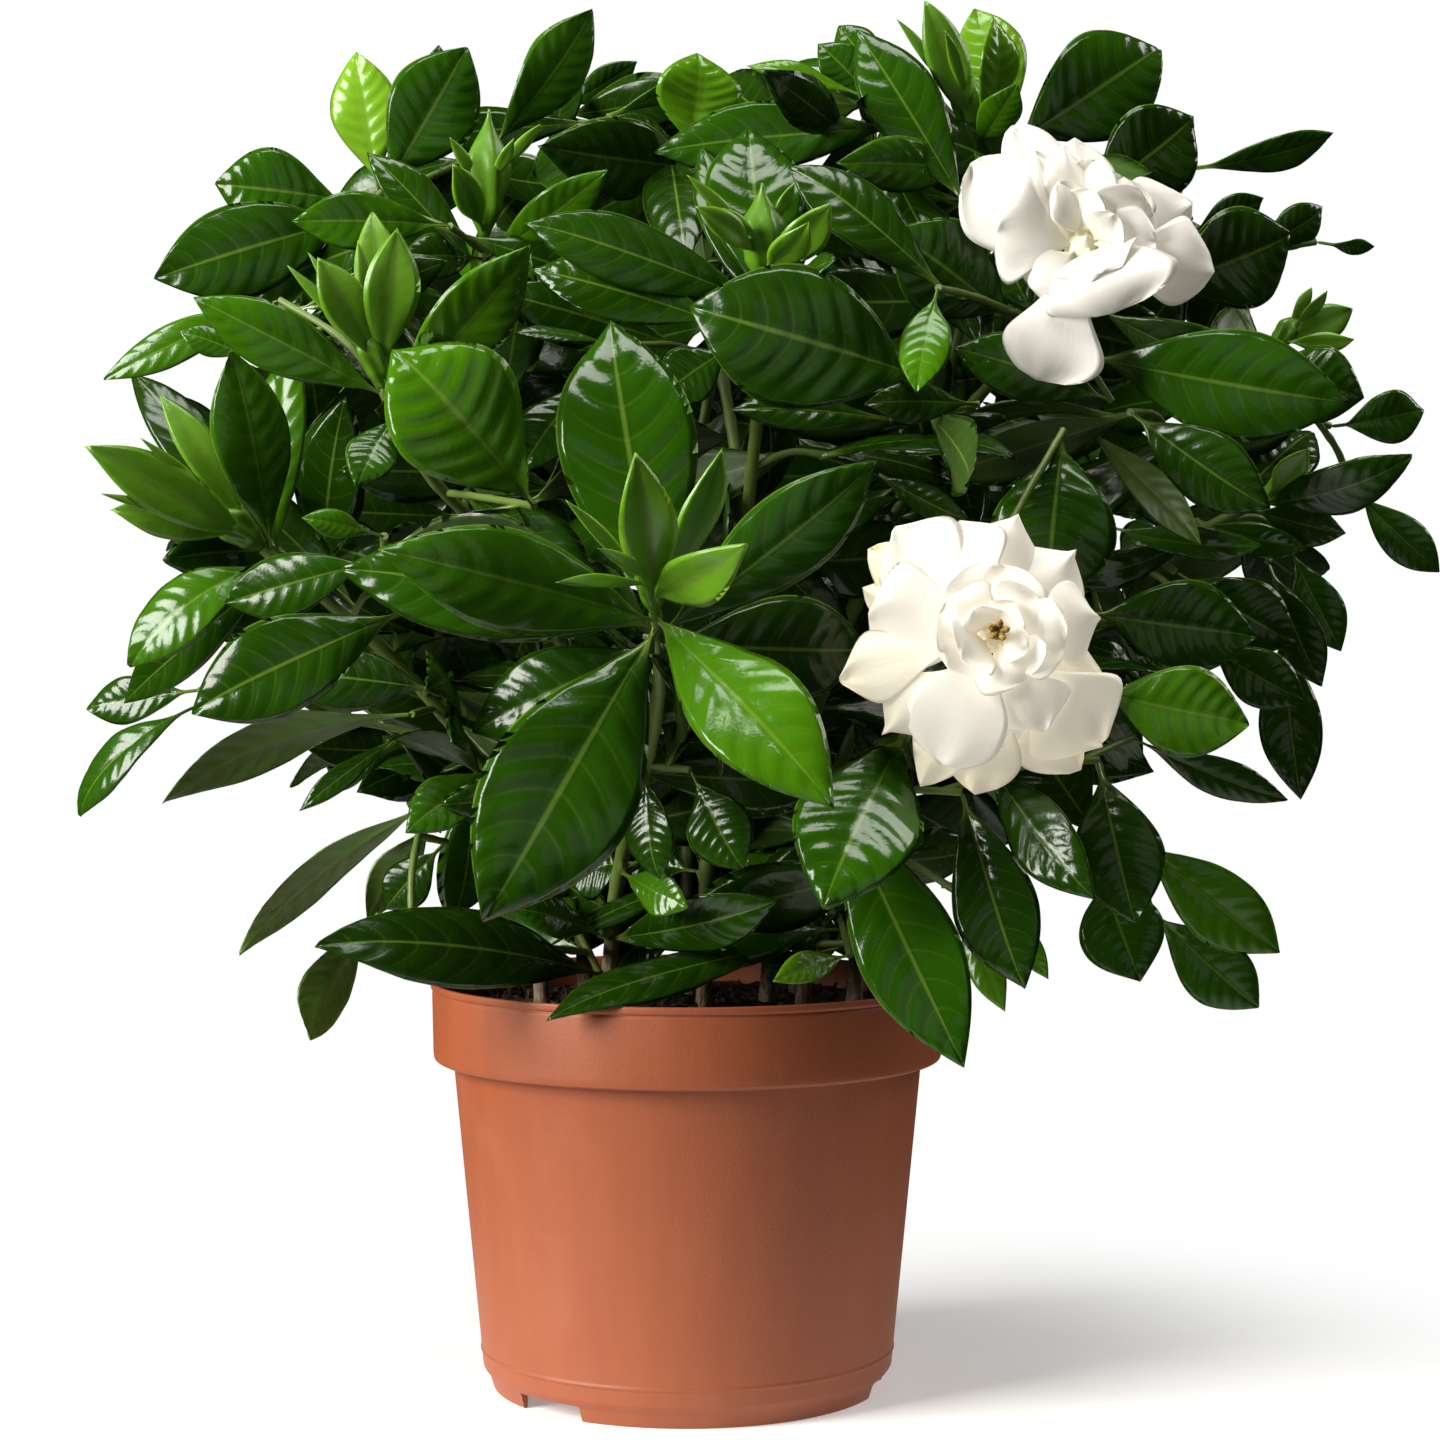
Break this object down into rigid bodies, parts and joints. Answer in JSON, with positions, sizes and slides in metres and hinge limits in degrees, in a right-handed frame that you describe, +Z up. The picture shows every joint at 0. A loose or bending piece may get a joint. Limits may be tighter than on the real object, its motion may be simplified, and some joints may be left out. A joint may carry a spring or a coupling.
{
  "type": "potted gardenia",
  "caption": "Bushy evergreen shrub with glossy ribbed leaves in whorls, pointed green buds and double white blooms, in a terracotta-coloured plastic nursery pot.",
  "frame": {"origin": "centre of the pot's underside, on the surface that the pot stands on", "axes": "+Z up along the pot's axis, -Y towards the viewer of the picture, +X to that viewer's right"},
  "size_m": [0.502, 0.4297, 0.5113],
  "materials": {
    "terracotta_plastic": "matte",
    "compost": "matte",
    "leaf_green": "satin",
    "young_green": "satin",
    "petal_white": "matte",
    "heart_yellow": "matte"
  },
  "bodies": {
    "root": {"pot": "terracotta_plastic", "soil": "compost", "bloom_front": "petal_white", "bloom_upper": "petal_white", "heart_front": "heart_yellow", "stem_front": "leaf_green", "stem_left": "leaf_green", "stem_upper_left": "leaf_green", "stem_middle": "leaf_green", "stem_upper_right": "leaf_green", "stem_right": "leaf_green", "stem_front_right": "leaf_green", "stem_back_left": "leaf_green", "stem_back_middle": "leaf_green", "stem_back_right": "leaf_green", "tip_front": "young_green", "tip_left": "young_green", "tip_upper_left": "young_green", "tip_top_left": "young_green", "tip_middle": "young_green", "tip_top_right": "young_green", "tip_right": "young_green", "tip_low_right": "young_green"}
  },
  "joints": []
}
